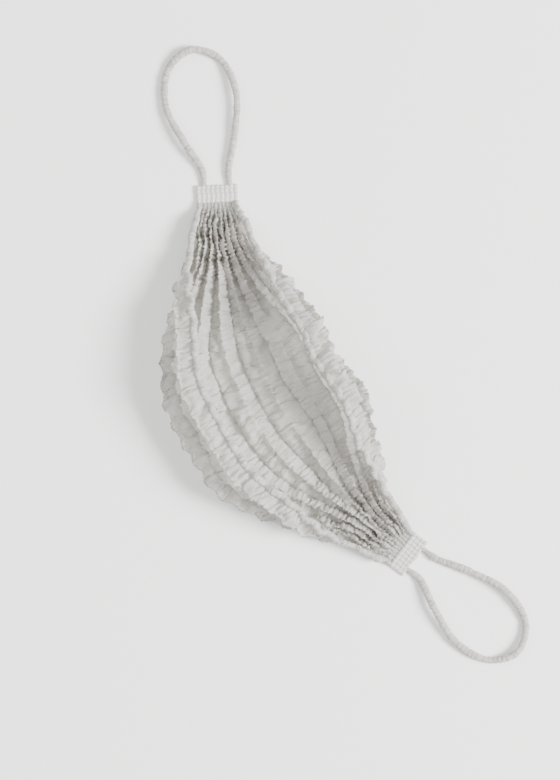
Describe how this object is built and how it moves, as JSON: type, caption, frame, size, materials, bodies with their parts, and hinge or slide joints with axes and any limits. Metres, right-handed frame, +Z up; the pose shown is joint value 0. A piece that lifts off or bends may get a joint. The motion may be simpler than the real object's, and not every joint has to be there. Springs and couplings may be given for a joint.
{
  "type": "beard cover",
  "caption": "Pleated nonwoven beard cover lying half open as a hollow pouch, with gathered elastic hems, pressed end tabs and an ear loop at each end.",
  "frame": {"origin": "on the surface the cover lies on, under the middle of its overall box", "axes": "+X along the strip from the left ear loop to the right one, +Y from the throat hem to the lip hem, +Z up out of the pouch's mouth"},
  "size_m": [0.4257, 0.139, 0.0419],
  "materials": {
    "white_spunbond": "soft matte, point bonded",
    "gathered_elastic": "matte, crinkled",
    "pressed_weld": "satin, pressed smooth"
  },
  "bodies": {
    "root": {"pleated_pouch": "white_spunbond", "throat_hem": "gathered_elastic", "lip_hem": "gathered_elastic", "end_weld_left": "pressed_weld", "end_weld_right": "pressed_weld", "ear_loop_left": "gathered_elastic", "ear_loop_right": "gathered_elastic"}
  },
  "joints": []
}
